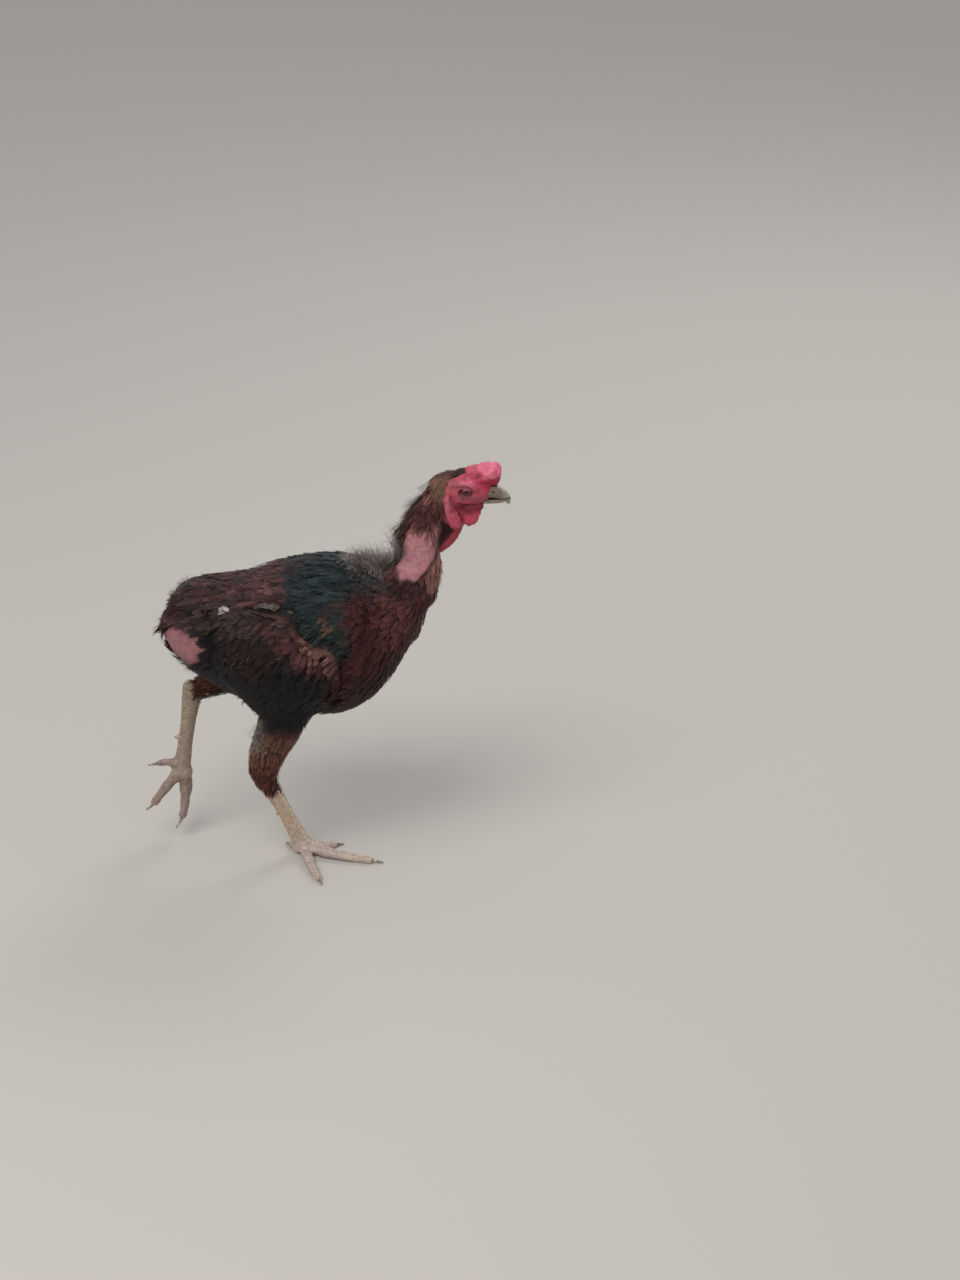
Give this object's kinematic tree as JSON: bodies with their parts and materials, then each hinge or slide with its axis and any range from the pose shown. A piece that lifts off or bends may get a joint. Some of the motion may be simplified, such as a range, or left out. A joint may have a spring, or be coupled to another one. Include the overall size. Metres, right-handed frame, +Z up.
{
  "type": "gamefowl cockerel",
  "caption": "Life-size still model of a gamefowl cockerel in mid-stride, standing with the other foot lifted behind, with a bare red face, a low comb and mahogany feathers",
  "frame": {"origin": "on the floor, at the middle of the standing foot's sole", "axes": "+Z up, +X ahead of the bird, +Y to its left; the bird's midplane is Y = 0"},
  "size_m": [0.3704, 0.1721, 0.4266],
  "materials": {
    "plumage_red": "soft matte feathers, dark mahogany red with a faint purple sheen",
    "plumage_dark": "soft matte feathers, near black with a green gloss",
    "red_skin": "bare, finely wrinkled living skin, crimson",
    "pink_skin": "bare thin skin, pale pink",
    "leg_scale": "dry overlapping scales, pale yellowish flesh colour",
    "horn": "smooth horn, grey olive to pale",
    "eye": "wet and glossy, dark"
  },
  "bodies": {
    "root": {"bill_lower": "horn", "bill_upper": "horn", "claw_1_left": "horn", "claw_1_right": "horn", "claw_2_left": "horn", "claw_2_right": "horn", "claw_3_left": "horn", "claw_3_right": "horn", "claw_4_left": "horn", "claw_4_right": "horn", "comb": "red_skin", "dewlap": "red_skin", "drumstick_left": "plumage_red", "drumstick_right": "plumage_red", "ear_lobe_left": "red_skin", "ear_lobe_right": "red_skin", "eye_left": "eye", "eye_right": "eye", "flight_left": "plumage_dark", "flight_right": "plumage_dark", "foot_left": "leg_scale", "foot_right": "leg_scale", "head": "red_skin", "neck_lower": "pink_skin", "neck_upper": "plumage_red", "shank_left": "leg_scale", "shank_right": "leg_scale", "spur_left": "horn", "spur_right": "horn", "tail": "plumage_red", "thigh_left": "plumage_dark", "thigh_right": "plumage_dark", "toe_1_left": "leg_scale", "toe_1_right": "leg_scale", "toe_2_left": "leg_scale", "toe_2_right": "leg_scale", "toe_3_left": "leg_scale", "toe_3_right": "leg_scale", "toe_4_left": "leg_scale", "toe_4_right": "leg_scale", "trunk": "plumage_red", "wattle_left": "red_skin", "wattle_right": "red_skin", "wing_left": "plumage_red", "wing_right": "plumage_red"}
  },
  "joints": []
}
